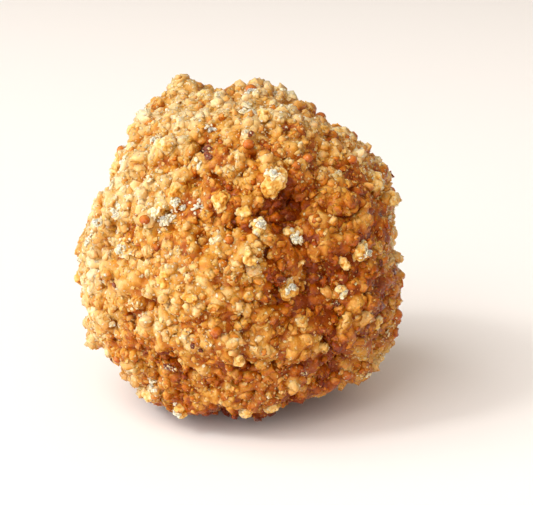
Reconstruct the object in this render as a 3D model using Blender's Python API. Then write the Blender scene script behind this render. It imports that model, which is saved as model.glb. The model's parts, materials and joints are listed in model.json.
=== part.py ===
"""A truffle rolled in praline crumb: one solid, out to the uneven outline of its crumb coat.

A hand-rolled ball is never round. Here it is a sphere of BALL_RADIUS with a sagged flank, broad
lumps and hollows left by the palms, a crease where the paste folded, and the knobbly relief of
the crumb. It stands on a small flat foot, with its origin under the middle of its box.
Directions on the ball are an azimuth, 0 at the front (-Y) and growing towards +X, and an
elevation above the horizontal, both in degrees. Heights are along the ball's radius.
"""

import math

import bmesh
import bpy
from mathutils import Vector, noise

MM = 0.001

# Driving sizes
BALL_RADIUS = 15.9 * MM
FOOT_DEPTH = 15.35 * MM  # the flat foot lies this far below the ball's centre
SAG_HEIGHT = 1.1 * MM  # the soft ball spreads this far round its lower flank
SAG_ELEVATION = -44.0
SAG_HALF_WIDTH = 20.0

# Lumps stand out and hollows go in: (azimuth, elevation, half width in degrees, height)
LUMPS = {
    "crown_knob": (-130, 66, 7, 2.0 * MM),
    "crown_notch": (-150, 72, 6, -0.8 * MM),
    "back_crown_knob": (172, 74, 9, 0.5 * MM),
    "left_shoulder": (-108, 49, 11, 1.3 * MM),
    "left_upper_flat": (-95, 28, 16, -2.8 * MM),
    "left_low_lump": (-82, -27, 12, 0.8 * MM),
    "left_dent": (-85, -18, 6, -1.0 * MM),
    "left_step": (-76, -40, 8, -1.0 * MM),
    "left_foot_corner": (-70, -51, 8, 0.9 * MM),
    "left_foot_roll": (-50, -64, 8, 0.6 * MM),
    "right_undercut": (56, -61, 12, -1.4 * MM),
    "right_low_roll": (77, -38, 12, 0.3 * MM),
    "right_shoulder": (98, 28, 12, 0.9 * MM),
    "right_crown_flat": (100, 54, 17, -0.9 * MM),
    "right_upper_flat": (84, 6, 17, -1.2 * MM),
    "right_low_lump": (83, -20, 12, 0.9 * MM),
    "front_pit": (22, 28, 8, -1.5 * MM),
    "front_belly": (-10, 2, 18, 0.6 * MM),
    "brow_above_pit": (12, 42, 12, 0.5 * MM),
    "right_front_hollow": (24, 2, 12, -0.7 * MM),
    "low_left_hollow": (-28, -30, 9, -0.6 * MM),
    "low_right_hollow": (41, -31, 9, -0.6 * MM),
    "back_swell": (165, 12, 30, 0.7 * MM),
    "back_hollow": (-150, -8, 14, -0.7 * MM),
    "back_lump": (128, 22, 12, 0.6 * MM),
}

# The crease where the paste folded, as a route of (azimuth, elevation) across the front
CREASE = ((-62, 8), (-45, 12), (-34, 21), (-17, 27), (4, 27), (20, 24), (30, 8), (38, -4))
CREASE_DEPTH = 0.75 * MM
CREASE_HALF_WIDTH = 5.0

# Knobbly relief of the coat: clumps of crumb, and the crumb itself
CLUMP_SIZE = 5.0 * MM
CLUMP_HEIGHT = 0.45 * MM
CRUMB_SIZE = 2.6 * MM
CRUMB_HEIGHT = 1.0 * MM

FACES_ALONG_A_SIDE = 28  # of the cube that is rounded into the ball
COAT_COLOUR = (0.62, 0.33, 0.10, 1.0)
COAT_ROUGHNESS = 0.55


def direction(azimuth, elevation):
    """Unit vector of a place on the ball."""
    around, above = math.radians(azimuth), math.radians(elevation)
    level = math.cos(above)
    return Vector((math.sin(around) * level, -math.cos(around) * level, math.sin(above)))


def bell(angle, half_width):
    """1 at angle 0, falling smoothly to about a third at half_width."""
    return math.exp(-((angle / half_width) ** 2))


def angle_between(a, b):
    """Angle in degrees between two unit vectors."""
    return math.degrees(math.acos(max(-1.0, min(1.0, a.dot(b)))))


def angle_to_route(place, route):
    """Smallest angle in degrees from a place to a route of straight steps between places."""
    nearest = 180.0
    for start, end in zip(route, route[1:]):
        step = end - start
        along = max(0.0, min(1.0, (place - start).dot(step) / step.length_squared))
        nearest = min(nearest, angle_between(place, (start + step * along).normalized()))
    return nearest


def broad_form(place, lumps, crease):
    """Radius of the rolled paste at a place: the sphere with its sag, lumps and crease."""
    elevation = math.degrees(math.asin(max(-1.0, min(1.0, place.z))))
    radius = BALL_RADIUS + SAG_HEIGHT * bell(elevation - SAG_ELEVATION, SAG_HALF_WIDTH)
    for centre, half_width, height in lumps:
        radius += height * bell(angle_between(place, centre), half_width)
    return radius - CREASE_DEPTH * bell(angle_to_route(place, crease), CREASE_HALF_WIDTH)


def coat_relief(point):
    """Height of the crumb coat over the paste: soft clumps, with rounded crumb on them."""
    clump = CLUMP_HEIGHT * noise.noise(point / CLUMP_SIZE)
    to_crumb = noise.voronoi(point / CRUMB_SIZE)[0][0]  # 0 on a crumb's top, 0.5 halfway to the next
    return clump + CRUMB_HEIGHT * (0.5 - to_crumb)


def rounded_cube():
    """A cube's grid of faces swelled into a sphere of radius 1, with even spacing."""
    mesh = bmesh.new()
    bmesh.ops.create_cube(mesh, size=2.0)
    bmesh.ops.subdivide_edges(
        mesh, edges=mesh.edges[:], cuts=FACES_ALONG_A_SIDE - 1, use_grid_fill=True
    )
    for vertex in mesh.verts:
        even = Vector(math.tan(side * math.pi / 4) for side in vertex.co)
        vertex.co = even.normalized()
    return mesh


def press_foot(mesh):
    """Flattens what would reach below the foot, as the ball's weight does."""
    for vertex in mesh.verts:
        vertex.co.z = max(vertex.co.z, -FOOT_DEPTH)


def stand_on_origin(mesh):
    """Moves the ball so that the origin is under the middle of its box, at the foot."""
    for axis in range(3):
        sides = [vertex.co[axis] for vertex in mesh.verts]
        middle = (min(sides) + max(sides)) / 2
        start = min(sides) if axis == 2 else middle
        for vertex in mesh.verts:
            vertex.co[axis] -= start


def coat_material():
    """Golden caramelised nut and sugar crumb."""
    material = bpy.data.materials.new("praline_crumb")
    material.use_nodes = True
    shader = material.node_tree.nodes["Principled BSDF"]
    shader.inputs["Base Color"].default_value = COAT_COLOUR
    shader.inputs["Roughness"].default_value = COAT_ROUGHNESS
    shader.inputs["Metallic"].default_value = 0.0
    return material


def make_truffle(collection):
    """The ball with its coat, as one closed mesh object."""
    lumps = [
        (direction(azimuth, elevation), half_width, height)
        for azimuth, elevation, half_width, height in LUMPS.values()
    ]
    crease = [direction(*station) for station in CREASE]
    mesh = rounded_cube()
    for vertex in mesh.verts:
        place = vertex.co.normalized()
        paste = place * broad_form(place, lumps, crease)
        vertex.co = paste + place * coat_relief(paste)
    press_foot(mesh)
    stand_on_origin(mesh)
    bmesh.ops.recalc_face_normals(mesh, faces=mesh.faces[:])
    data = bpy.data.meshes.new("truffle")
    mesh.to_mesh(data)
    mesh.free()
    data.shade_smooth()
    data.materials.append(coat_material())
    truffle = bpy.data.objects.new("truffle", data)
    collection.objects.link(truffle)
    return truffle


def clear_scene():
    for obj in list(bpy.data.objects):
        bpy.data.objects.remove(obj, do_unlink=True)


def main():
    clear_scene()
    collection = bpy.data.collections.new("truffle")
    bpy.context.scene.collection.children.link(collection)
    make_truffle(collection)


main()
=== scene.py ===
"""Looks of a hand-rolled truffle coated all over in praline and biscuit crumb.

The coat is laid in the order that its maker lays it: the sticky ball with the crumb pressed deep
into it, the grains that stick out, the clusters and flakes among them, and the sugar dust.
"""
import json
import math
import random

import bmesh
import bpy
from mathutils import Matrix, Vector, noise

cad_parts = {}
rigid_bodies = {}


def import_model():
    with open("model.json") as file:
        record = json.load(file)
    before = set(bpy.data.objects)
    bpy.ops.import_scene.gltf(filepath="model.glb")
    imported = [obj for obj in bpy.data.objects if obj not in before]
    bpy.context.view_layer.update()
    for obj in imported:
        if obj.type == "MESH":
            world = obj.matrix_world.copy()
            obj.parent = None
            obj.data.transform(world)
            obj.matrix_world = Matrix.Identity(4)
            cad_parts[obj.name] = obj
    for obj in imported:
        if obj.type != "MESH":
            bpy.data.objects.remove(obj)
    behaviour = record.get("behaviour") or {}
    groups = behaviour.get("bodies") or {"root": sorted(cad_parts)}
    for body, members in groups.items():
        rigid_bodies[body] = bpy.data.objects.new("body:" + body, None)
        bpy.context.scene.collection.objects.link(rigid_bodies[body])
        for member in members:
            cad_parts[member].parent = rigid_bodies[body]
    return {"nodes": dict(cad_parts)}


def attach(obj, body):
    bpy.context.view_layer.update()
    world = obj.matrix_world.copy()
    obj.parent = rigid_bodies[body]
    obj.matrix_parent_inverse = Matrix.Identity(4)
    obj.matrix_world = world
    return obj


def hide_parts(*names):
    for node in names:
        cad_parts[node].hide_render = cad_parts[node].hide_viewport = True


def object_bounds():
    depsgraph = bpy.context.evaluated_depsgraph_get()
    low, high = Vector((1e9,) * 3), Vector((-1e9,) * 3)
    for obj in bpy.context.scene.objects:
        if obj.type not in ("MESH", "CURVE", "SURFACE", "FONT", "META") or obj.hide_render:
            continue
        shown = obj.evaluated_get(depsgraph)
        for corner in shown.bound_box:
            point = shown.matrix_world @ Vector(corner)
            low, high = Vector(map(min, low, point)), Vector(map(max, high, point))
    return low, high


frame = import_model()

cad_low, cad_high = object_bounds()

# ---- The rolled ball -------------------------------------------------------------------------
# Ganache rolled between the palms and pressed into praline crumb while it is sticky. The crumb
# that went in deepest is fused with the paste into one rough, golden brown skin.
MM = 0.001
LAYING_DEPTH = 0.65 * MM  # the loose grains are laid this far inside the coat's outline
CLUMP_SIZE = 3.0 * MM
CLUMP_HEIGHT = 0.7 * MM
PASTE_DEPTH = 0.55 * MM  # the paste's own surface lies this much deeper
SKIN_VOXEL = 0.27 * MM
BALL_MIDDLE = Vector((0.0, 0.0, (cad_low.z + cad_high.z) / 2))
SUGARED_AND_LIT_SIDE = Vector((-0.62, -0.45, 0.64))  # where the sugar fell thickest, and the side towards the light that is painted paler as painted light
FOOT_RIM = 3.0 * MM  # the coat is painted darker below this height, as shade under the ball
FOOT_TUCK = 0.12  # share of its width by which the coat draws in under the ball
# Painted shade that darkens the coat towards the foot
FOOT_SHADE_TONE = -3.5
PATCH_SIZE = 7.0 * MM  # the coat's own darker and paler patches, at the sides and the back
PATCH_TONE = 0.9
GRAIN_CUTS = 5  # flat sides that a grain gets where it broke
STAIN_SIZE = 3.0 * MM  # neighbouring grains were caramelised alike
STAIN_TONE = 2.1
HOLLOW_SHADE_TONE = 0.35  # painted paler for each millimetre that a place stands out of the ball, as painted light, and darker for each that it lies in it, as painted shade
# Painted light: the tone that the side towards the light gains and the side away from it loses
LIT_SIDE_TONE = 0.36
CRYSTAL_SIZE = 0.3 * MM  # of the sugar that crusts a grain's skin
CRYSTAL_DEPTH = 0.03 * MM
WARP_SIZE = 0.5 * MM
TONE_SHARE = 0.48  # of a grain's colour; the rest is painted shade by its height, painted light by its side, and its crystals
PAINTED_LIGHT_FROM = Vector((-0.55, -0.3, 0.78))  # faces turned this way, towards the light, are painted paler as painted light, and faces turned away darker as painted shade
PAINTED_LIGHT_CONTRAST = 0.2
BED_REACH = 40  # edges around a point over which the ball's own hollows are measured
# Darker and paler places: azimuth, elevation and half width in degrees, change of tone, height in
# mm.
# The darker tone of the pits, valleys and creases, of the right and lower side and of the foot is
# painted shade;
# the paler tone on the left is painted light.
SPOTS = {
    "pit": (20, 30, 5.5, -1.8, -1.2),
    "between_pits": (14, 14, 5, -0.5, -0.2),
    "below_pit": (24, 17, 6, -0.1, -0.3),
    "valley": (29, 4, 6, -0.3, -0.4),
    "valley_end": (35, -6, 6, 0.0, -0.3),
    "small_pit": (14, 4, 4.5, -1.7, -1.0),
    "low_left_skin": (-26, -28, 4, -1.0, -0.7),
    "low_right_skin": (39, -31, 6, -0.9, -0.6),
    "top_skin": (-18, 52, 3, -0.7, -0.6),
    "crease_start": (-40, 14, 4, -0.6, -0.4),
    "crease_middle": (-24, 27, 4, -0.6, -0.4),
    "crease_end": (-4, 33, 4, -0.6, -0.4),
    "right_painted_shade": (50, 17, 20, -0.55, 0.0),
    "right_front_painted_shade": (26, -4, 15, -0.27, 0.0),
    "right_low_painted_shade": (52, -14, 20, -0.45, 0.0),
    "low_left_painted_shade": (-30, -25, 11, -0.35, 0.0),
    "front_brown": (10, -8, 34, -0.15, 0.0),
    "low_front_painted_shade": (4, -42, 16, -0.2, 0.0),
    "lower_left_painted_shade": (-27, -42, 9, -0.4, 0.0),
    "brow_brown": (-8, 42, 15, -0.3, 0.0),
    "crease_painted_shade": (-14, 24, 10, -0.2, 0.0),
    "foot_front": (10, -66, 16, 0.0, -0.5),
    # The foot's darker tone: partly a darker smear of paste, partly painted shade under the ball
    "foot_smear": (-2, -62, 9, -1.8, -0.4),
    "foot_smear_right": (26, -56, 9, -1.1, -0.2),
    "foot_smear_left": (-24, -62, 7, -0.6, 0.0),
    "low_right_painted_shade": (40, -34, 16, -0.15, 0.0),
    "top_brown": (20, 52, 12, -0.3, 0.0),
    "left_painted_light": (-50, 22, 15, 0.3, 0.0),
    "left_low_painted_light": (-62, -3, 14, 0.45, 0.0),
    "left_under_painted_shade": (-48, -24, 10, -0.15, 0.0),
    "upper_left_painted_light": (-60, 55, 20, 0.3, 0.0),
    "top_pale": (10, 74, 14, 0.25, 0.0),
    "belly_pale": (-22, 4, 11, 0.35, 0.0),
    "top_right_roll": (127, 65, 7, 0.0, 0.8),
    "crown_knob": (-130, 66, 7, 0.1, 0.8),
    "left_shoulder": (-110, 52, 6, 0.0, 0.4),
    "left_notch": (-102, 37, 7, -0.2, -1.3),
    "left_flat": (-91, -9, 9, 0.0, -0.8),
    "foot_roll": (-27, -66, 10, 0.1, 0.3),
    "right_undercut": (53, -62, 11, -0.2, -1.0),
    "right_low_roll": (84, -19, 7, 0.0, 0.5),
    "right_roll": (93, 10, 7, 0.0, 0.4),
    "back_skin": (160, 40, 8, -1.0, -0.7),
    "back_brown": (130, -5, 16, -0.3, 0.0),
    "back_pale": (-160, 25, 16, 0.35, 0.3),
    "side_pit": (104, -2, 5, -1.1, -0.9),
    "left_back_pit": (-115, 5, 6, -1.0, -0.8),
    "left_back_pale": (-130, 40, 14, 0.3, 0.0),
}


def linear(hex_colour):
    """Linear RGBA of an sRGB colour such as #C08040."""
    parts = [int(hex_colour[i:i + 2], 16) / 255 for i in (1, 3, 5)]
    return [c / 12.92 if c <= 0.04045 else ((c + 0.055) / 1.055) ** 2.4 for c in parts] + [1.0]


def node(tree, kind, inputs=None, **settings):
    """Adds a node with its settings. inputs gives each socket a value, a node or its output."""
    made = tree.nodes.new(kind)
    for name, value in settings.items():
        setattr(made, name, value)
    for name, value in (inputs or {}).items():
        if isinstance(name, int):
            socket = made.inputs[name]
        else:
            socket = next(s for s in made.inputs if s.enabled and s.name == name)
        if isinstance(value, bpy.types.Node):
            value = next(s for s in value.outputs if s.enabled)
        if isinstance(value, bpy.types.NodeSocket):
            tree.links.new(value, socket)
        else:
            socket.default_value = value
    return made


def plain_mesh(carrier):
    """Leaves an object the mesh that its modifiers make, without the modifiers."""
    bpy.context.view_layer.update()
    graph = bpy.context.evaluated_depsgraph_get()
    mesh = bpy.data.meshes.new_from_object(carrier.evaluated_get(graph), depsgraph=graph)
    carrier.modifiers.clear()
    carrier.data = mesh


def new_object(name, *meshes):
    """An object that holds a copy of some meshes, with their loose triangles merged."""
    shape = bmesh.new()
    for mesh in meshes:
        shape.from_mesh(mesh)
    bmesh.ops.remove_doubles(shape, verts=shape.verts[:], dist=0.0001 * MM)
    joined = bpy.data.meshes.new(name)
    shape.to_mesh(joined)
    shape.free()
    made = bpy.data.objects.new(name, joined)
    bpy.context.scene.collection.objects.link(made)
    return made


def move_out(made, heights):
    """Moves each point of an object along its normal, but never lifts its foot."""
    steps = [vertex.normal * height for vertex, height in zip(made.data.vertices, heights)]
    for vertex, step in zip(made.data.vertices, steps):
        step.z *= min(1.0, max(0.0, vertex.co.z) / FOOT_RIM)
        vertex.co += step


def direction(azimuth, elevation):
    """Unit vector towards a place on the ball, from azimuth 0 at the front and growing to +X."""
    around, above = math.radians(azimuth), math.radians(elevation)
    level = math.cos(above)
    return Vector((math.sin(around) * level, -math.cos(around) * level, math.sin(above)))


def mark_spots(made):
    """Marks where the coat is darker or paler, many places as painted light and shade, and raises or
    presses in those places.
    """
    centres = [
        (direction(azimuth, elevation), half_width, change, height * MM)
        for azimuth, elevation, half_width, change, height in SPOTS.values()
    ]
    marks, heights = [], []
    for vertex in made.data.vertices:
        place = (vertex.co - BALL_MIDDLE).normalized()
        low = max(0.0, 1 - vertex.co.z / FOOT_RIM)
        toward_back = max(0.0, place.y + 0.4)
        # The back's own patches, and painted shade towards the foot
        mark = PATCH_TONE * toward_back * noise.noise(vertex.co / PATCH_SIZE) + FOOT_SHADE_TONE * low * low
        step = CLUMP_HEIGHT * noise.noise(vertex.co / CLUMP_SIZE) - LAYING_DEPTH
        for centre, half_width, change, height in centres:
            share = math.exp(-((math.degrees(place.angle(centre)) / half_width) ** 2))
            mark += change * share
            step += height * share
        marks.append(mark)
        heights.append(step)
    held = made.data.attributes.new("spot", "FLOAT", "POINT")
    held.data.foreach_set("value", marks)
    move_out(made, heights)
    for vertex in made.data.vertices:
        tuck = 1 - FOOT_TUCK * max(0.0, 1 - vertex.co.z / FOOT_RIM)
        vertex.co.x *= tuck
        vertex.co.y *= tuck


def note_relief(made, name, reach):
    """Stores how far each point stands above the mesh around it, within a reach of some edges."""
    tree, _ = new_tree(name, {})
    surface = tree.nodes.new("NodeGroupInput").outputs["Surface"]
    place = node(tree, "GeometryNodeInputPosition")
    level = node(
        tree, "GeometryNodeBlurAttribute", {"Value": place, "Iterations": reach},
        data_type="FLOAT_VECTOR",
    )
    above = node(tree, "ShaderNodeVectorMath", {0: place, 1: level}, operation="SUBTRACT")
    height = node(
        tree, "ShaderNodeVectorMath",
        {0: above, 1: node(tree, "GeometryNodeInputNormal")}, operation="DOT_PRODUCT",
    )
    stored = node(tree, "GeometryNodeStoreNamedAttribute", {
        "Geometry": surface, "Name": name, "Value": height.outputs["Value"],
    }, data_type="FLOAT", domain="POINT")
    node(tree, "NodeGroupOutput", {0: stored})
    made.modifiers.new(name, "NODES").node_group = tree
    plain_mesh(made)


def new_tree(name, sockets):
    """An empty geometry tree with named inputs. Gives the tree and each input's identifier."""
    tree = bpy.data.node_groups.new(name, "GeometryNodeTree")
    tree.interface.new_socket("Surface", in_out="INPUT", socket_type="NodeSocketGeometry")
    tree.interface.new_socket("Result", in_out="OUTPUT", socket_type="NodeSocketGeometry")
    keys = {}
    for label, kind in sockets.items():
        made = tree.interface.new_socket(label, in_out="INPUT", socket_type="NodeSocket" + kind)
        keys[label] = made.identifier
    return tree, keys


def crumb_tree():
    """A geometry tree that strews grains over a surface, each cut and lumpy in its own way."""
    tree, keys = new_tree("crumb", {
        "Coat": "Collection", "Spacing": "Float", "Least width": "Float",
        "Greatest width": "Float", "Sunk": "Float", "Thickness": "Float", "Tilt": "Float",
        "Cut": "Float", "Lumps": "Float", "Side points": "Int", "Patches": "Float",
        "Lean to sugar": "Float", "Likeness": "Float", "Paleness": "Float", "Heed": "Float",
        "Seed": "Int", "Rounded": "Bool", "Material": "Material",
    })
    given = tree.nodes.new("NodeGroupInput").outputs
    place = node(tree, "GeometryNodeInputPosition")
    facing = node(tree, "GeometryNodeInputNormal")
    held = {
        name: node(tree, "GeometryNodeInputNamedAttribute", {"Name": name}, data_type=kind)
        for name, kind in (
            ("spot", "FLOAT"), ("hollow", "FLOAT"), ("tone", "FLOAT"), ("width", "FLOAT"),
            ("number", "INT"), ("middle", "FLOAT_VECTOR"),
        )
    }
    # What each grain draws by lot: step of the seed, least and greatest value
    for_points = {
        "skew": (1, 0.0, 1.0), "sinking": (2, 0.5, 1.5), "tone": (3, 0.2, 0.8),
        "lean_x": (4, -1.0, 1.0), "lean_y": (5, -1.0, 1.0), "spin": (6, 0.0, math.tau),
        "narrowing": (7, 0.55, 1.0),
    }
    for_grains = {"swirl": (60, (0, 0, 0), (90, 90, 90))}
    for cut in range(GRAIN_CUTS):
        for_grains[f"side_{cut}"] = (20 + cut, (-1, -1, -1), (1, 1, 1))
        for_grains[f"limit_{cut}"] = (40 + cut, 0.5, 1.2)
    drawn = {}
    for lots, number in ((for_points, {}), (for_grains, {"ID": held["number"]})):
        for name, (step, least, greatest) in lots.items():
            seed = node(tree, "ShaderNodeMath", {0: given["Seed"], 1: step}, operation="ADD")
            drawn[name] = node(
                tree, "FunctionNodeRandomValue",
                {"Min": least, "Max": greatest, "Seed": seed, **number},
                data_type="FLOAT_VECTOR" if isinstance(least, tuple) else "FLOAT",
            )

    # The crumb lies in patches, thicker on the sugared side where it leans to it.
    patch = node(tree, "ShaderNodeTexNoise", {
        "Vector": node(tree, "ShaderNodeVectorMath", {0: place, 1: (0.3, 0.1, 0.7)}),
        "Scale": 1 / (4.5 * MM), "Detail": 1.0,
    })
    sided = node(
        tree, "ShaderNodeVectorMath", {0: facing, 1: SUGARED_AND_LIT_SIDE}, operation="DOT_PRODUCT"
    ).outputs["Value"]
    bare = node(tree, "ShaderNodeMapRange", {
        "Value": patch, "From Min": 0.42, "From Max": 0.6, "To Min": 0.0, "To Max": given["Patches"],
    })
    covered = node(tree, "ShaderNodeMath", {0: 1.0, 1: bare}, operation="SUBTRACT")
    density = node(
        tree, "ShaderNodeMath", {0: sided, 1: given["Lean to sugar"], 2: covered},
        operation="MULTIPLY_ADD",
    )
    density = node(
        tree, "ShaderNodeMath", {0: held["spot"], 1: given["Heed"], 2: density},
        operation="MULTIPLY_ADD",
    )
    spread = node(tree, "GeometryNodeDistributePointsOnFaces", {
        "Mesh": given["Surface"], "Distance Min": given["Spacing"], "Density Max": 4.0e7,
        "Density Factor": node(tree, "ShaderNodeClamp", {0: density}), "Seed": given["Seed"],
    }, distribute_method="POISSON")
    outward = spread.outputs["Normal"]

    # Each grain drops straight onto what already lies there, and sinks in by a share of its width.
    laid = node(tree, "GeometryNodeCollectionInfo", {"Collection": given["Coat"]})
    lift = node(tree, "ShaderNodeVectorMath", {0: outward, "Scale": 3 * MM}, operation="SCALE")
    down = node(tree, "ShaderNodeVectorMath", {0: outward, "Scale": -1.0}, operation="SCALE")
    landing = node(tree, "GeometryNodeRaycast", {
        "Target Geometry": node(tree, "GeometryNodeRealizeInstances", {0: laid}),
        "Attribute": held["tone"],
        "Source Position": node(tree, "ShaderNodeVectorMath", {0: place, 1: lift}),
        "Ray Direction": down,
        "Ray Length": 6 * MM,
    })
    landed = node(tree, "GeometryNodeSwitch", {
        "Switch": landing.outputs["Is Hit"], "False": place,
        "True": landing.outputs["Hit Position"],
    }, input_type="VECTOR")
    skew = node(tree, "ShaderNodeMath", {0: drawn["skew"], 1: 1.6}, operation="POWER")
    span = node(
        tree, "ShaderNodeMath", {0: given["Greatest width"], 1: given["Least width"]},
        operation="SUBTRACT",
    )
    width = node(
        tree, "ShaderNodeMath", {0: span, 1: skew, 2: given["Least width"]},
        operation="MULTIPLY_ADD",
    )
    sunk = node(tree, "ShaderNodeMath", {0: width, 1: given["Sunk"]}, operation="MULTIPLY")
    depth = node(tree, "ShaderNodeMath", {0: sunk, 1: drawn["sinking"]}, operation="MULTIPLY")
    sink = node(tree, "ShaderNodeVectorMath", {0: down, "Scale": depth}, operation="SCALE")
    points = node(tree, "GeometryNodeSetPosition", {
        "Geometry": spread.outputs["Points"],
        "Position": node(tree, "ShaderNodeVectorMath", {0: landed, 1: sink}),
    })

    # Its tone: by lot, then as its neighbours and the spots ask, darker in the hollows as painted
    # shade, and paler on the side towards the light as painted light.
    stain = node(tree, "ShaderNodeTexNoise", {"Vector": place, "Scale": 1 / STAIN_SIZE})
    stained = node(tree, "ShaderNodeMath", {0: stain, 1: 0.5}, operation="SUBTRACT")
    tone = drawn["tone"]
    for value, share in (
        (stained, STAIN_TONE), (held["hollow"], HOLLOW_SHADE_TONE / MM), (held["spot"], 1.0),
        (sided, LIT_SIDE_TONE),
    ):
        tone = node(
            tree, "ShaderNodeMath", {0: value, 1: share, 2: tone}, operation="MULTIPLY_ADD"
        )
    like = node(tree, "ShaderNodeMix", {
        0: given["Likeness"], 2: tone, 3: landing.outputs["Attribute"],
    }, data_type="FLOAT")
    tone = node(
        tree, "ShaderNodeMath", {0: like.outputs[0], 1: given["Paleness"]}, operation="ADD"
    )
    index = node(tree, "GeometryNodeInputIndex")
    for name, kind, value in (
        ("width", "FLOAT", width), ("tone", "FLOAT", tone), ("number", "INT", index),
        ("middle", "FLOAT_VECTOR", place),
    ):
        points = node(
            tree, "GeometryNodeStoreNamedAttribute",
            {"Geometry": points, "Name": name, "Value": value}, data_type=kind, domain="POINT",
        )

    # It starts as a ball of its own length, breadth and thickness, tilted and turned by lot.
    lean_x, lean_y = (
        node(tree, "ShaderNodeMath", {0: given["Tilt"], 1: drawn[name]}, operation="MULTIPLY")
        for name in ("lean_x", "lean_y")
    )
    lean = node(tree, "ShaderNodeCombineXYZ", {0: lean_x, 1: lean_y, 2: drawn["spin"]})
    turned = node(tree, "FunctionNodeRotateRotation", {
        0: spread.outputs["Rotation"], 1: node(tree, "FunctionNodeEulerToRotation", {0: lean}),
    }, rotation_space="LOCAL")
    breadth, thickness = (
        node(tree, "ShaderNodeMath", {0: width, 1: share}, operation="MULTIPLY")
        for share in (drawn["narrowing"], given["Thickness"])
    )
    size = node(tree, "ShaderNodeCombineXYZ", {0: width, 1: breadth, 2: thickness})
    count = given["Side points"]
    block = node(tree, "GeometryNodeMeshCube", {
        "Size": (1.0, 1.0, 1.0), "Vertices X": count, "Vertices Y": count, "Vertices Z": count,
    })
    onto_ball = node(tree, "ShaderNodeVectorMath", {0: place}, operation="NORMALIZE")
    grain = node(tree, "GeometryNodeSetPosition", {
        "Geometry": block.outputs["Mesh"],
        "Position": node(
            tree, "ShaderNodeVectorMath", {0: onto_ball, "Scale": 0.5}, operation="SCALE"
        ),
    })
    placed = node(tree, "GeometryNodeInstanceOnPoints", {
        "Points": points, "Instance": grain, "Rotation": turned, "Scale": size,
    })
    solid = node(tree, "GeometryNodeRealizeInstances", {"Geometry": placed})

    # What lies past a flat side is cut back to it, and small lumps cover the whole.
    local = node(
        tree, "ShaderNodeVectorMath", {0: place, 1: held["middle"]}, operation="SUBTRACT"
    )
    reach = node(
        tree, "ShaderNodeMath", {0: held["width"], 1: given["Cut"]}, operation="MULTIPLY"
    )
    for cut in range(GRAIN_CUTS):
        side = node(
            tree, "ShaderNodeVectorMath", {0: drawn[f"side_{cut}"]}, operation="NORMALIZE"
        )
        along = node(
            tree, "ShaderNodeVectorMath", {0: local, 1: side}, operation="DOT_PRODUCT"
        ).outputs["Value"]
        limit = node(
            tree, "ShaderNodeMath", {0: reach, 1: drawn[f"limit_{cut}"]}, operation="MULTIPLY"
        )
        past = node(tree, "ShaderNodeMath", {0: along, 1: limit}, operation="SUBTRACT")
        over = node(tree, "ShaderNodeMath", {0: past, 1: 0.0}, operation="MAXIMUM")
        off = node(tree, "ShaderNodeVectorMath", {0: side, "Scale": over}, operation="SCALE")
        local = node(tree, "ShaderNodeVectorMath", {0: local, 1: off}, operation="SUBTRACT")
    per_width = node(tree, "ShaderNodeMath", {0: 1.0, 1: held["width"]}, operation="DIVIDE")
    relative = node(
        tree, "ShaderNodeVectorMath", {0: local, "Scale": per_width}, operation="SCALE"
    )
    swirl = node(tree, "ShaderNodeTexNoise", {
        "Vector": node(tree, "ShaderNodeVectorMath", {0: relative, 1: drawn["swirl"]}),
        "Scale": 4.0, "Detail": 2.0,
    })
    centred = node(
        tree, "ShaderNodeVectorMath", {0: swirl.outputs["Color"], 1: (0.5, 0.5, 0.5)},
        operation="SUBTRACT",
    )
    lump = node(
        tree, "ShaderNodeMath", {0: held["width"], 1: given["Lumps"]}, operation="MULTIPLY"
    )
    lumps = node(tree, "ShaderNodeVectorMath", {0: centred, "Scale": lump}, operation="SCALE")
    shaped = node(tree, "ShaderNodeVectorMath", {
        0: node(tree, "ShaderNodeVectorMath", {0: held["middle"], 1: local}), 1: lumps,
    })
    sides = node(tree, "ShaderNodeSeparateXYZ", {0: shaped})
    resting = node(tree, "ShaderNodeCombineXYZ", {
        0: sides.outputs[0], 1: sides.outputs[1],
        2: node(tree, "ShaderNodeMath", {0: sides.outputs[2], 1: 0.0}, operation="MAXIMUM"),
    })
    formed = node(tree, "GeometryNodeSetPosition", {"Geometry": solid, "Position": resting})

    # How far each point stands over the ball's surface tells the material how deep it lies, for the
    # painted shade in the gaps.
    near = node(tree, "GeometryNodeProximity", {0: given["Surface"]}, target_element="FACES")
    away = node(
        tree, "ShaderNodeVectorMath", {0: place, 1: near.outputs["Position"]}, operation="SUBTRACT"
    )
    from_middle = node(
        tree, "ShaderNodeVectorMath", {0: place, 1: tuple(BALL_MIDDLE)}, operation="SUBTRACT"
    )
    radial = node(tree, "ShaderNodeVectorMath", {0: from_middle}, operation="NORMALIZE")
    rise = node(tree, "ShaderNodeVectorMath", {0: away, 1: radial}, operation="DOT_PRODUCT")
    raised = node(tree, "GeometryNodeStoreNamedAttribute", {
        "Geometry": formed, "Name": "rise", "Value": rise.outputs["Value"],
    }, data_type="FLOAT", domain="POINT")
    smooth = node(
        tree, "GeometryNodeSetShadeSmooth", {"Geometry": raised, "Shade Smooth": given["Rounded"]}
    )
    dressed = node(
        tree, "GeometryNodeSetMaterial", {"Geometry": smooth, "Material": given["Material"]}
    )
    node(tree, "NodeGroupOutput", {0: dressed})
    return tree, keys


def strew(name, **values):
    """An object with the grains that the crumb tree strews over the ball with these inputs."""
    carrier = new_object(name, laying_surface)
    modifier = carrier.modifiers.new("crumb", "NODES")
    modifier.node_group = crumb
    for key, value in values.items():
        modifier[crumb_keys[key.replace("_", " ").capitalize()]] = value
    plain_mesh(carrier)
    return carrier


def add_to_coat(piece):
    """Moves a piece to the collection of what is already laid."""
    bpy.context.scene.collection.objects.unlink(piece)
    coat.objects.link(piece)


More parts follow.
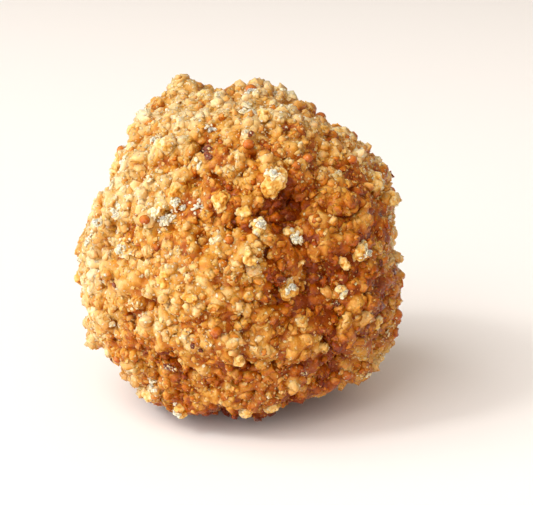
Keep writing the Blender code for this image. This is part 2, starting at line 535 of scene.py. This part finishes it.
def crumb_finish(name, tones, low, high, roughness, gloss, seep=0.5 * MM, grit=0.08):
    """Sugary crumb: each grain has its tone, with painted shade that makes it deeper and more orange
    down in the gaps.

    tones run from the gaps to the tops and are painted by height as shade, low and high are the
    heights that they lie between, gloss is the syrup film's, seep is how far light spreads inside,
    and grit is the crystals' contrast.
    """
    material = bpy.data.materials.new(name)
    material.use_nodes = True
    tree = material.node_tree
    shader = tree.nodes["Principled BSDF"]
    place = node(tree, "ShaderNodeTexCoord").outputs["Object"]
    tone = node(tree, "ShaderNodeAttribute", attribute_name="tone").outputs["Fac"]
    rise = node(tree, "ShaderNodeAttribute", attribute_name="rise").outputs["Fac"]
    # The skin is crusted with sugar crystals: painted paler in their middles, with painted shade
    # between them.
    warp = node(tree, "ShaderNodeTexNoise", {"Vector": place, "Scale": 1 / WARP_SIZE})
    stray = node(
        tree, "ShaderNodeVectorMath", {0: warp.outputs["Color"], "Scale": WARP_SIZE / 2},
        operation="SCALE",
    )
    strayed = node(tree, "ShaderNodeVectorMath", {0: stray, 1: place})
    crystals = node(tree, "ShaderNodeTexVoronoi", {
        "Vector": strayed, "Scale": 1 / CRYSTAL_SIZE, "Detail": 1.0, "Roughness": 0.6,
    })
    crown = node(tree, "ShaderNodeMapRange", {
        "Value": crystals.outputs["Distance"], "From Min": 0.1, "From Max": 0.8,
        "To Min": grit, "To Max": -grit,
    })
    # Painted shade: the lower a place lies, the deeper and more orange it is painted; the higher,
    # the paler.
    height = node(tree, "ShaderNodeMapRange", {
        "Value": rise, "From Min": low, "From Max": high, "To Min": -0.06, "To Max": 0.34,
    })
    # Painted light and shade: faces turned towards the light are painted paler, faces turned away
    # darker.
    facing = node(tree, "ShaderNodeVectorMath", {
        0: node(tree, "ShaderNodeNewGeometry").outputs["Normal"], 1: PAINTED_LIGHT_FROM,
    }, operation="DOT_PRODUCT")
    painted_light = node(tree, "ShaderNodeMath", {
        0: facing.outputs["Value"], 1: PAINTED_LIGHT_CONTRAST, 2: height,
    }, operation="MULTIPLY_ADD")
    lit = node(tree, "ShaderNodeMath", {0: crown, 1: painted_light}, operation="ADD")
    shade = node(
        tree, "ShaderNodeMath", {0: tone, 1: TONE_SHARE, 2: lit}, operation="MULTIPLY_ADD"
    )
    ramp = node(tree, "ShaderNodeValToRGB", {"Fac": shade})
    stops = ramp.color_ramp.elements
    stops[0].position, stops[0].color = 0.0, linear(tones[0])
    stops[1].position, stops[1].color = 1.0, linear(tones[-1])
    for number, colour in enumerate(tones[1:-1], 1):
        stops.new(number / (len(tones) - 1)).color = linear(colour)
    tree.links.new(ramp.outputs[0], shader.inputs["Base Color"])
    bump = node(tree, "ShaderNodeBump", {
        "Height": crystals.outputs["Distance"], "Strength": 1.0, "Distance": CRYSTAL_DEPTH,
    }, invert=True)
    rough = node(tree, "ShaderNodeMapRange", {
        "Value": warp, "From Min": 0.35, "From Max": 0.65,
        "To Min": roughness - 0.12, "To Max": roughness + 0.12,
    })
    tree.links.new(rough.outputs[0], shader.inputs["Roughness"])
    # The crystals face every way, and those that face the light glint.
    askew = node(
        tree, "ShaderNodeVectorMath", {0: crystals.outputs["Color"], 1: (0.5, 0.5, 0.5)},
        operation="SUBTRACT",
    )
    for socket, tip in (("Normal", 0.25), ("Coat Normal", 1.2)):
        tipped = node(tree, "ShaderNodeVectorMath", {0: askew, "Scale": tip}, operation="SCALE")
        turned = node(tree, "ShaderNodeVectorMath", {0: tipped, 1: bump})
        facet = node(tree, "ShaderNodeVectorMath", {0: turned}, operation="NORMALIZE")
        tree.links.new(facet.outputs[0], shader.inputs[socket])
    shader.inputs["Specular IOR Level"].default_value = 0.12
    shader.inputs["Coat Weight"].default_value = gloss
    shader.inputs["Coat Roughness"].default_value = 0.14
    shader.inputs["Subsurface Weight"].default_value = 0.85
    shader.inputs["Subsurface Radius"].default_value = (1.0, 0.85, 0.65)
    shader.inputs["Subsurface Scale"].default_value = seep
    return material


# The ball's own surface, with its spots, on which every layer of the coat is laid
laying = new_object("laying", frame["nodes"]["truffle"].data)
finer = laying.modifiers.new("finer", "SUBSURF")
finer.levels = finer.render_levels = 1
plain_mesh(laying)
mark_spots(laying)
note_relief(laying, "hollow", BED_REACH)
laying_surface = laying.data
bpy.data.objects.remove(laying)

coat = bpy.data.collections.new("coat")
bpy.context.scene.collection.children.link(coat)
crumb, crumb_keys = crumb_tree()

# Praline paste: caramel and nut ground into a sticky skin, red-brown in its gaps, partly damp and
# partly painted shade, and dull gold where it stands out and is painted paler
paste = crumb_finish(
    "praline_paste", ("#7C2E00", "#A45204", "#C4882E", "#D6AE6E", "#E2CA9C"),
    -0.14 * MM, 0.17 * MM, 0.35, 0.4,
)
core = new_object("core", laying_surface)
move_out(core, [-PASTE_DEPTH] * len(core.data.vertices))
add_to_coat(core)
pressed = strew(
    "pressed_crumb", spacing=0.85 * MM, least_width=0.9 * MM, greatest_width=2.4 * MM, sunk=0.1,
    thickness=0.8, tilt=1.6, cut=0.42, lumps=0.35, side_points=5, seed=5, rounded=True, heed=0.2,
)
# The skin is the ball just under that surface and the deepest crumb, grown into one.
bed = new_object("praline_bed", core.data, pressed.data)
grid = bed.modifiers.new("fuse", "REMESH")
grid.mode = "VOXEL"
grid.voxel_size = SKIN_VOXEL
soften = bed.modifiers.new("soften", "SMOOTH")
soften.factor = 0.5
soften.iterations = 1

fused, fused_keys = new_tree("fused", {"Grains": "Object", "Material": "Material"})
given = fused.nodes.new("NodeGroupInput").outputs
place = node(fused, "GeometryNodeInputPosition")
grains = node(fused, "GeometryNodeObjectInfo", {"Object": given["Grains"]}).outputs["Geometry"]
tone = node(fused, "GeometryNodeSampleNearestSurface", {
    "Mesh": grains,
    "Value": node(fused, "GeometryNodeInputNamedAttribute", {"Name": "tone"}, data_type="FLOAT"),
}, data_type="FLOAT")
toned = node(fused, "GeometryNodeStoreNamedAttribute", {
    "Geometry": given["Surface"], "Name": "tone", "Value": tone,
}, data_type="FLOAT", domain="POINT")
# How far each point stands above its surroundings, for the painted shade in the skin's gaps
level = node(
    fused, "GeometryNodeBlurAttribute", {"Value": place, "Iterations": 8},
    data_type="FLOAT_VECTOR",
)
above = node(fused, "ShaderNodeVectorMath", {0: place, 1: level}, operation="SUBTRACT")
height = node(
    fused, "ShaderNodeVectorMath",
    {0: above, 1: node(fused, "GeometryNodeInputNormal")}, operation="DOT_PRODUCT",
)
raised = node(fused, "GeometryNodeStoreNamedAttribute", {
    "Geometry": toned, "Name": "rise", "Value": height.outputs["Value"],
}, data_type="FLOAT", domain="POINT")
sides = node(fused, "ShaderNodeSeparateXYZ", {0: place})
resting = node(fused, "ShaderNodeCombineXYZ", {
    0: sides.outputs[0], 1: sides.outputs[1],
    2: node(fused, "ShaderNodeMath", {0: sides.outputs[2], 1: 0.0}, operation="MAXIMUM"),
})
rested = node(fused, "GeometryNodeSetPosition", {"Geometry": raised, "Position": resting})
smooth = node(fused, "GeometryNodeSetShadeSmooth", {"Geometry": rested})
dressed = node(
    fused, "GeometryNodeSetMaterial", {"Geometry": smooth, "Material": given["Material"]}
)
node(fused, "NodeGroupOutput", {0: dressed})
modifier = bed.modifiers.new("fused", "NODES")
modifier.node_group = fused
modifier[fused_keys["Grains"]] = pressed
modifier[fused_keys["Material"]] = paste
plain_mesh(bed)
bpy.data.objects.remove(core)
bpy.data.objects.remove(pressed)
add_to_coat(bed)
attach(bed, "root")
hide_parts("truffle")

# ---- The crumb -------------------------------------------------------------------------------
# Praline and biscuit chopped to crumbs half a millimetre to two and a half millimetres wide. They
# stick to the paste, and to one another, where the ball was rolled in them, the coarse ones first.
DEEPEST = -0.8 * MM  # the crumb is painted deeper towards the first of these heights over the laying surface and paler towards the second, as painted shade in the gaps
HIGHEST = 0.7 * MM
# Boiled sugar with nut in it, broken up: orange-brown lumps under a film of syrup
caramel = crumb_finish(
    "caramelised_sugar", ("#782A00", "#A24F02", "#C2822C", "#D6AE6E", "#E2CA9C"),
    DEEPEST, HIGHEST, 0.3, 0.35,
)
# The same cooked less long: lighter, gold and glossier
golden = crumb_finish(
    "golden_caramel_crumb", ("#822F00", "#AE5A04", "#CC9036", "#DCB87C", "#E6D0A4"),
    DEEPEST, HIGHEST, 0.3, 0.5,
)
# Sugar that was cooked longest: clear red-brown chips
amber = crumb_finish(
    "amber_caramel_crumb", ("#6C2000", "#984204", "#B96C0E", "#CE984C", "#DAB884"),
    DEEPEST, HIGHEST, 0.3, 0.5,
)
# Roast hazelnut, chopped: mealy, tan on its broken sides
nut = crumb_finish(
    "roast_nut_crumb", ("#8A3C00", "#B2620A", "#D0984A", "#DEBC88", "#E6D0A6"),
    DEEPEST, HIGHEST, 0.35, 0.5,
)
# Wafer biscuit crushed to dust: dry, pale straw
pale = crumb_finish(
    "biscuit_crumb", ("#B97320", "#D2A457", "#E2C88C", "#E8DAB4", "#EAE2C8"),
    DEEPEST, HIGHEST, 0.4, 0.5,
)

for name, material, values in (
    ("caramel_nodules", caramel, dict(
        spacing=1.6 * MM, least_width=1.2 * MM, greatest_width=2.5 * MM, sunk=0.3,
        thickness=0.75, tilt=1.2, cut=0.4, lumps=0.55, side_points=5, seed=19, rounded=True,
        heed=0.15)),
    ("golden_crumb", golden, dict(
        spacing=1.0 * MM, least_width=0.8 * MM, greatest_width=2.0 * MM, sunk=0.25,
        thickness=0.8, tilt=1.6, cut=0.38, lumps=0.6, side_points=3, seed=11, rounded=True,
        likeness=0.3, heed=0.2)),
    ("amber_crumb", amber, dict(
        spacing=1.15 * MM, least_width=0.8 * MM, greatest_width=1.8 * MM, sunk=0.3,
        thickness=0.8, tilt=1.6, cut=0.42, lumps=0.4, side_points=3, seed=23, rounded=True,
        heed=0.1)),
    ("nut_crumb", nut, dict(
        spacing=1.0 * MM, least_width=0.7 * MM, greatest_width=1.8 * MM, sunk=0.3, likeness=0.5,
        thickness=0.75, tilt=1.6, cut=0.38, lumps=0.6, side_points=3, seed=37, rounded=True,
        patches=0.5, heed=0.35)),
    ("crumb_fines", golden, dict(
        spacing=0.52 * MM, least_width=0.4 * MM, greatest_width=0.85 * MM, sunk=0.3,
        likeness=0.8, thickness=0.8, tilt=1.6, cut=0.45, lumps=0.4, side_points=2, seed=53,
        rounded=False, patches=0.1, heed=0.2)),
):
    piece = strew(name, coat=coat, material=material, **values)
    add_to_coat(piece)
    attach(piece, "root")
    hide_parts("truffle")

# ---- Clusters --------------------------------------------------------------------------------
# Crumbs of biscuit and sugar that clotted together before the ball was rolled in them. They are
# paler than the rest and stand out of the coat.
CLUSTER_VOXEL = 0.13 * MM
CLUSTER_GRAINS = 9
CLUSTER_REACH = 12  # edges around a point over which a cluster's gaps are measured for their painted shade
CLUSTER_RELIEF = 0.15 * MM
# Azimuth, elevation, width in mm
CLUSTERS = (
    (14, 36, 2.9), (22, 19, 2.2), (8, 22, 2.0), (-7, 31, 2.0), (2, 28, 1.5), (47, 9, 2.1),
    (39, 6, 1.5), (18, 0, 1.9), (39, -3, 1.7), (59, -19, 1.9), (72, 30, 2.4), (-15, -1, 1.6),
    (-44, -44, 1.9), (-29, -49, 2.0), (16, -49, 1.8), (3, -47, 1.6), (30, -37, 1.4),
    (-32, 26, 1.9), (-45, 11, 2.1), (-55, 17, 1.5), (-26, 33, 1.9), (4, 13, 1.6), (52, -50, 1.8),
    (20, 65, 1.7), (-24, 4, 1.9), (-62, -16, 1.8), (-70, 36, 1.9), (-38, 48, 2.0), (0, -22, 1.6),
)
HIDDEN_CLUSTERS = 34


def drop(toward):
    """Where something dropped straight onto the coat from this direction comes to lie."""
    start = BALL_MIDDLE + toward * 30 * MM
    landings = []
    for piece in coat.objects:
        met, landing, _, _ = piece.ray_cast(start, -toward)
        if met:
            landings.append(((landing - start).length, landing))
    return min(landings)[1]


def hidden_places(count, seed, nearest=-0.35):
    """Directions spread at random over the sides and the back, no nearer to the front than this."""
    chance = random.Random(seed)
    places = []
    while len(places) < count:
        toward = Vector([chance.gauss(0, 1) for _ in range(3)]).normalized()
        apart = all(toward.angle(other) > 0.22 for other in places)
        if toward.y - 0.3 * toward.z > nearest and toward.z > -0.8 and apart:
            places.append(toward)
    return places


def tone_points(mesh, tone, rise):
    """Gives every point of a mesh one tone and one height over the coat."""
    for name, value in (("tone", tone), ("rise", rise)):
        held = mesh.attributes.new(name, "FLOAT", "POINT")
        held.data.foreach_set("value", [value] * len(mesh.vertices))


# Biscuit crumb and sugar grown together: sandy, straw-coloured, with painted shade between its
# grains
clotted_finish = crumb_finish(
    "clotted_biscuit", ("#A05200", "#C47D1C", "#D8A650", "#E4C284", "#EAD4A6"),
    -0.12 * MM, 0.16 * MM, 0.35, 0.4,
)
bpy.context.view_layer.update()
chance = random.Random(8)
shape = bmesh.new()
places = [(direction(azimuth, elevation), width * MM) for azimuth, elevation, width in CLUSTERS]
places += [(toward, chance.uniform(1.4, 2.6) * MM) for toward in hidden_places(HIDDEN_CLUSTERS, 4)]
for toward, width in places:
    landing = drop(toward)
    frame_turn = toward.to_track_quat("Z", "Y").to_matrix().to_4x4()
    spin = Matrix.Rotation(chance.uniform(0, math.tau), 4, "Z")
    stretch = chance.uniform(0.6, 0.95)
    for _ in range(CLUSTER_GRAINS):
        around, out = chance.uniform(0, math.tau), math.sqrt(chance.random()) * width * 0.34
        at = Vector((math.cos(around) * out, math.sin(around) * out * stretch,
                     chance.uniform(-0.12, 0.22) * width * (1 - out / width)))
        grain = Matrix.Diagonal([chance.uniform(0.17, 0.3) * width for _ in range(3)] + [1.0])
        turn = Matrix.Rotation(chance.uniform(0, math.tau), 4, Vector((
            chance.gauss(0, 1), chance.gauss(0, 1), chance.gauss(0, 1))))
        bmesh.ops.create_icosphere(
            shape, subdivisions=2, radius=1.0,
            matrix=Matrix.Translation(landing) @ frame_turn @ spin
            @ Matrix.Translation(at) @ turn @ grain,
        )
clotted = bpy.data.meshes.new("biscuit_clusters")
shape.to_mesh(clotted)
shape.free()
clusters = new_object("biscuit_clusters", clotted)
grid = clusters.modifiers.new("fuse", "REMESH")
grid.mode = "VOXEL"
grid.voxel_size = CLUSTER_VOXEL
plain_mesh(clusters)
steps = [
    vertex.normal * CLUSTER_RELIEF
    * (noise.noise(vertex.co / (0.5 * MM)) + 0.8 * noise.noise(vertex.co / (0.25 * MM)))
    for vertex in clusters.data.vertices
]
for vertex, step in zip(clusters.data.vertices, steps):
    vertex.co += step
    vertex.co.z = max(vertex.co.z, 0.0)
note_relief(clusters, "rise", CLUSTER_REACH)
held = clusters.data.attributes.new("tone", "FLOAT", "POINT")
tones = [
    0.7 + 0.6 * noise.noise(vertex.co / (2.5 * MM)) + 0.5 * noise.noise(vertex.co / (0.5 * MM))
    for vertex in clusters.data.vertices
]
held.data.foreach_set("value", tones)
clusters.data.materials.clear()
clusters.data.materials.append(clotted_finish)
add_to_coat(clusters)
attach(clusters, "root")
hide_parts("truffle")

# ---- Flakes ----------------------------------------------------------------------------------
# Thin chips that stuck on last: near-white ones of sugar icing, dark red-brown ones of the skin
# that comes off a roast nut, and clots of fine white sugar that lie about the pale ones.
# Azimuth, elevation, length in mm
SUGAR_FLAKES = (
    (12, 71, 2.0), (-51, 22, 1.2), (-29, 24, 2.0), (-24, 29, 1.5), (-16, 29, 0.8), (23, 17, 1.7),
    (13, 37, 1.2), (-46, 10, 1.3), (-55, 17, 0.9), (47, 10, 1.1), (-20, 44, 1.0), (4, 56, 1.0),
    (-62, 30, 1.1), (-40, 36, 1.0), (-28, -47, 1.2), (-8, 18, 0.9), (17, 0, 0.9), (38, -3, 1.0),
)
# Azimuth, elevation, width in mm of clots of fine sugar
CLOTS = (
    (-29, 24, 2.2), (-24, 29, 1.6), (-51, 22, 1.2), (-45, 11, 1.5), (-55, 17, 1.2), (-16, 29, 1.0),
    (22, 18, 1.6), (12, 70, 1.3), (8, 23, 1.2), (47, 9, 1.3), (14, 38, 1.2), (-40, -40, 1.2),
    (-62, 38, 1.5), (-50, 50, 1.4), (-20, 60, 1.2), (-68, 8, 1.4), (18, 2, 1.0), (-30, -48, 1.2),
)
# Azimuth, elevation, length in mm
SKIN_FLAKES = (
    (-18, 52, 1.8), (-15, 47, 1.2), (-44, -1, 0.7), (-54, -5, 0.6), (7, 55, 0.9), (-15, -17, 1.0),
    (48, -16, 0.7), (19, 31, 1.4), (22, 26, 1.2), (14, 5, 1.0), (-26, -28, 1.6), (39, -31, 1.5),
    (31, 3, 1.0), (36, -7, 1.0), (-13, -19, 0.7), (-2, 24, 0.6), (58, 3, 0.8), (66, 18, 0.9),
    (30, 58, 0.8), (72, -4, 0.8), (-36, -54, 0.9), (10, -56, 1.0), (24, -30, 0.7),
)


def add_shard(shape, centre, out, length, thickness, curl, chance):
    """Adds a thin chip with a ragged rim, bent along its length, that faces a direction."""
    turn = out.to_track_quat("Z", "Y").to_matrix() @ Matrix.Rotation(
        chance.uniform(0, math.tau), 3, "Z")
    corners = chance.choice((7, 8, 9, 10))
    rim = []
    for corner in range(corners):
        around = math.tau * (corner + chance.uniform(-0.35, 0.35)) / corners
        reach = length / 2 * chance.uniform(0.75, 1.05)
        along, across = math.cos(around) * reach, 0.6 * math.sin(around) * reach
        bend = curl * (along / length) ** 2 * length + chance.uniform(-0.1, 0.1) * length
        rim.append((along, across, bend))
    rings = []
    for height in (-thickness / 2, thickness / 2):
        ring = [
            shape.verts.new(centre + turn @ Vector((along, across, bend + height)))
            for along, across, bend in rim
        ]
        rings.append((ring, shape.verts.new(centre + turn @ Vector((0, 0, height)))))
    (low, under), (high, over) = rings
    for here in range(corners):
        there = (here + 1) % corners
        shape.faces.new((low[there], low[here], under))
        shape.faces.new((high[here], high[there], over))
        shape.faces.new((low[here], low[there], high[there]))
        shape.faces.new((low[here], high[there], high[here]))


def flakes(name, places, shards, thickness, curl, tip, seed, material):
    """An object with thin chips that lie on the coat, a few shards to each place."""
    chance = random.Random(seed)
    shape = bmesh.new()
    for toward, length in places:
        across = toward.orthogonal().normalized()
        for shard in range(shards):
            stray = Matrix.Rotation(chance.uniform(0, math.tau), 3, toward) @ across
            reach = length * 0.45 * chance.random() if shards > 1 else 0.0
            aside = (toward + stray * reach / (16 * MM)).normalized()
            out = aside + tip * Vector([chance.gauss(0, 1) for _ in range(3)])
            size = length * (chance.uniform(0.4, 0.75) if shards > 1 else 1.0)
            centre = drop(aside) + aside * 0.1 * length
            add_shard(shape, centre, out.normalized(), size, thickness, curl, chance)
    for vertex in shape.verts:
        vertex.co.z = max(vertex.co.z, 0.0)
    mesh = bpy.data.meshes.new(name)
    shape.to_mesh(mesh)
    shape.free()
    made = new_object(name, mesh)
    tone_points(made.data, 0.5, 0.2 * MM)
    made.data.materials.append(material)
    return made


# Sugar icing, dried and broken: cream-white, with a faint gloss
white = crumb_finish(
    "sugar_flake", ("#CC9440", "#E8C684", "#F8E2B4", "#FEF0D0", "#FFF8E6"),
    DEEPEST, HIGHEST, 0.3, 0.6,
)
# The papery skin of a roast nut: dark red-brown and glossy
skin = crumb_finish(
    "nut_skin", ("#350C00", "#531907", "#702E12", "#8D4527", "#AE6134"),
    DEEPEST, HIGHEST, 0.25, 0.8,
)
for name, marks, count, seed, nearest, shards, thickness, curl, tip, material in (
    ("sugar_flakes", SUGAR_FLAKES, 24, 51, -0.35, 3, 0.12 * MM, 0.4, 0.3, white),
    ("skin_flakes", SKIN_FLAKES, 28, 67, 0.1, 1, 0.14 * MM, 0.2, 0.1, skin),
):
    places = [(direction(azimuth, elevation), length * MM) for azimuth, elevation, length in marks]
    chance = random.Random(seed + 1)
    places += [
        (toward, chance.uniform(0.7, 1.6) * MM) for toward in hidden_places(count, seed, nearest)
    ]
    piece = flakes(name, places, shards, thickness, curl, tip, seed, material)
    add_to_coat(piece)
    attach(piece, "root")
    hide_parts("truffle")

shape = bmesh.new()
chance = random.Random(31)
places = [(direction(azimuth, elevation), width * MM) for azimuth, elevation, width in CLOTS]
places += [(toward, chance.uniform(0.8, 1.6) * MM) for toward in hidden_places(26, 32)]
for toward, width in places:
    across = toward.orthogonal().normalized()
    for _ in range(int(24 * width / MM)):
        stray = Matrix.Rotation(chance.uniform(0, math.tau), 3, toward) @ across
        aside = toward + stray * chance.gauss(0, 0.28) * width / (16 * MM)
        aside.normalize()
        wide = chance.uniform(0.22, 0.5) * MM
        turn = Matrix.Rotation(chance.uniform(0, math.tau), 4, Vector((
            chance.gauss(0, 1), chance.gauss(0, 1), chance.gauss(0, 1))))
        bmesh.ops.create_icosphere(
            shape, subdivisions=1, radius=0.5,
            matrix=Matrix.Translation(drop(aside) + aside * chance.uniform(-0.05, 0.25) * wide)
            @ turn @ Matrix.Diagonal((wide, wide * 0.8, wide * 0.55, 1.0)),
        )
for vertex in shape.verts:
    vertex.co.z = max(vertex.co.z, 0.0)
mesh = bpy.data.meshes.new("sugar_clots")
shape.to_mesh(mesh)
shape.free()
clots = new_object("sugar_clots", mesh)
tone_points(clots.data, 0.85, 0.1 * MM)
clots.data.materials.append(white)
add_to_coat(clots)
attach(clots, "root")
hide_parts("truffle")

# ---- Beads -----------------------------------------------------------------------------------
# Drops of caramel that fell off the praline while it was hot and set round. They stick in the
# crumb like the other grains, half sunk.
# Azimuth, elevation, width in mm
BEADS = (
    (5, 50, 1.1), (-34, 22, 1.0), (-3, 18, 0.9), (-7, -11, 1.2), (75, -20, 1.3), (33, 44, 1.0),
    (50, -38, 1.1), (-52, -30, 1.0), (26, 42, 0.9), (60, 40, 1.0),
)
# Caramel that set from a melt: smooth, red-brown and shiny
syrup = crumb_finish(
    "set_caramel", ("#702000", "#983E04", "#B9650E", "#CB8B3C", "#D9AA6B"),
    DEEPEST, HIGHEST, 0.15, 0.8,
)
chance = random.Random(72)
shape = bmesh.new()
places = [(direction(azimuth, elevation), width * MM) for azimuth, elevation, width in BEADS]
places += [(toward, chance.uniform(0.8, 1.3) * MM) for toward in hidden_places(16, 73)]
for toward, width in places:
    bmesh.ops.create_icosphere(
        shape, subdivisions=3, radius=width / 2,
        matrix=Matrix.Translation(drop(toward) + toward * width * 0.15)
        @ Matrix.Rotation(chance.uniform(0, 3), 4, "X") @ Matrix.Diagonal((1.0, 0.9, 0.85, 1.0)),
    )
mesh = bpy.data.meshes.new("caramel_beads")
shape.to_mesh(mesh)
shape.free()
beads = new_object("caramel_beads", mesh)
beads.data.shade_smooth()
tone_points(beads.data, 0.5, 0.2 * MM)
beads.data.materials.append(syrup)
add_to_coat(beads)
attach(beads, "root")
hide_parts("truffle")

# ---- Sugar -----------------------------------------------------------------------------------
# Sugar crystals a quarter to half a millimetre wide that came off the praline and stick all over
# it, and pale dust of sugar and wafer, which fell thickest on one upper side, the side towards the
# light, where it also paints that side paler as painted light.
# Coarse sugar stained by the caramel: sharp, gold, with small glints
crystal = crumb_finish(
    "sugar_crystal", ("#AE5E06", "#CB873D", "#DCB474", "#E4CCA0", "#E8DABC"),
    DEEPEST, HIGHEST, 0.3, 0.5, 0.5 * MM, 0.05,
)
for name, material, values in (
    ("sugar_crystals", crystal, dict(
        spacing=0.4 * MM, least_width=0.22 * MM, greatest_width=0.55 * MM, sunk=0.3,
        thickness=0.85, tilt=1.6, cut=0.5, lumps=0.3, side_points=2, seed=93, rounded=False,
        likeness=0.95, paleness=0.08, patches=0.4, heed=0.3)),
    ("sugar_dust", pale, dict(
        spacing=0.48 * MM, least_width=0.2 * MM, greatest_width=0.5 * MM, sunk=0.3,
        thickness=0.85, tilt=1.6, cut=0.5, lumps=0.3, side_points=2, seed=113, rounded=False,
        likeness=0.85, paleness=0.22, patches=1.5, lean_to_sugar=0.7, heed=0.8)),
):
    piece = strew(name, coat=coat, material=material, **values)
    add_to_coat(piece)
    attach(piece, "root")
    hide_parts("truffle")

# ---- Floor, light and camera -----------------------------------------------------------------
# A pale card under the ball, one large soft light high on the left with a small bare lamp beside
# it, a weaker soft light in front, and a warm white room.
FLOOR_HALF_WIDTH = 3.0
CARD_COLOUR = "#F7F4F1"
ROOM_COLOUR = "#FFEEDC"
ROOM_LIGHT = 0.42
floor_mesh = bpy.data.meshes.new("floor")
shape = bmesh.new()
bmesh.ops.create_grid(shape, x_segments=1, y_segments=1, size=FLOOR_HALF_WIDTH)
shape.to_mesh(floor_mesh)
shape.free()
floor = bpy.data.objects.new("floor", floor_mesh)
bpy.context.scene.collection.objects.link(floor)
# Uncoated card: near-white and dull
card = bpy.data.materials.new("pale_card")
card.use_nodes = True
card_shader = card.node_tree.nodes["Principled BSDF"]
card_shader.inputs["Base Color"].default_value = linear(CARD_COLOUR)
card_shader.inputs["Roughness"].default_value = 0.8
floor.data.materials.append(card)

world = bpy.data.worlds.new("studio")
bpy.context.scene.world = world
world.use_nodes = True
room = world.node_tree.nodes["Background"]
room.inputs["Color"].default_value = linear(ROOM_COLOUR)
room.inputs["Strength"].default_value = ROOM_LIGHT


def softbox(name, azimuth, elevation, distance, size, power, colour):
    """A square area light that faces the ball, in metres and watts."""
    toward = direction(azimuth, elevation)
    data = bpy.data.lights.new(name, "AREA")
    data.shape = "SQUARE"
    data.size = size
    data.energy = power
    data.color = linear(colour)[:3]
    made = bpy.data.objects.new(name, data)
    made.location = BALL_MIDDLE + toward * distance
    made.rotation_euler = toward.to_track_quat("Z", "Y").to_euler()
    bpy.context.scene.collection.objects.link(made)


softbox("key_softbox", -54, 38, 1.2, 1.6, 21.5, "#FCFDFF")
softbox("front_fill", -3, 18, 1.2, 1.6, 11.0, "#FFFAF4")
softbox("bare_lamp", -60, 44, 1.2, 0.2, 3.0, "#FFFDF8")

ELEVATION = 16.0
LENS = 100.0
DISTANCE = 145.7 * MM
AIM = (2.51 * MM, -0.54 * MM)  # to the right of the ball's middle and above it
camera_data = bpy.data.cameras.new("camera")
camera_data.lens = LENS
camera_data.clip_start = 0.01
camera_data.clip_end = 10
camera = bpy.data.objects.new("camera", camera_data)
above = math.radians(ELEVATION)
back = Vector((0, -math.cos(above), math.sin(above)))
up = Vector((0, math.sin(above), math.cos(above)))
target = BALL_MIDDLE + Vector((1, 0, 0)) * AIM[0] + up * AIM[1]
camera.location = target + back * DISTANCE
camera.rotation_euler = back.to_track_quat("Z", "Y").to_euler()
bpy.context.scene.collection.objects.link(camera)
bpy.context.scene.camera = camera
bpy.context.scene.view_settings.view_transform = "Standard"
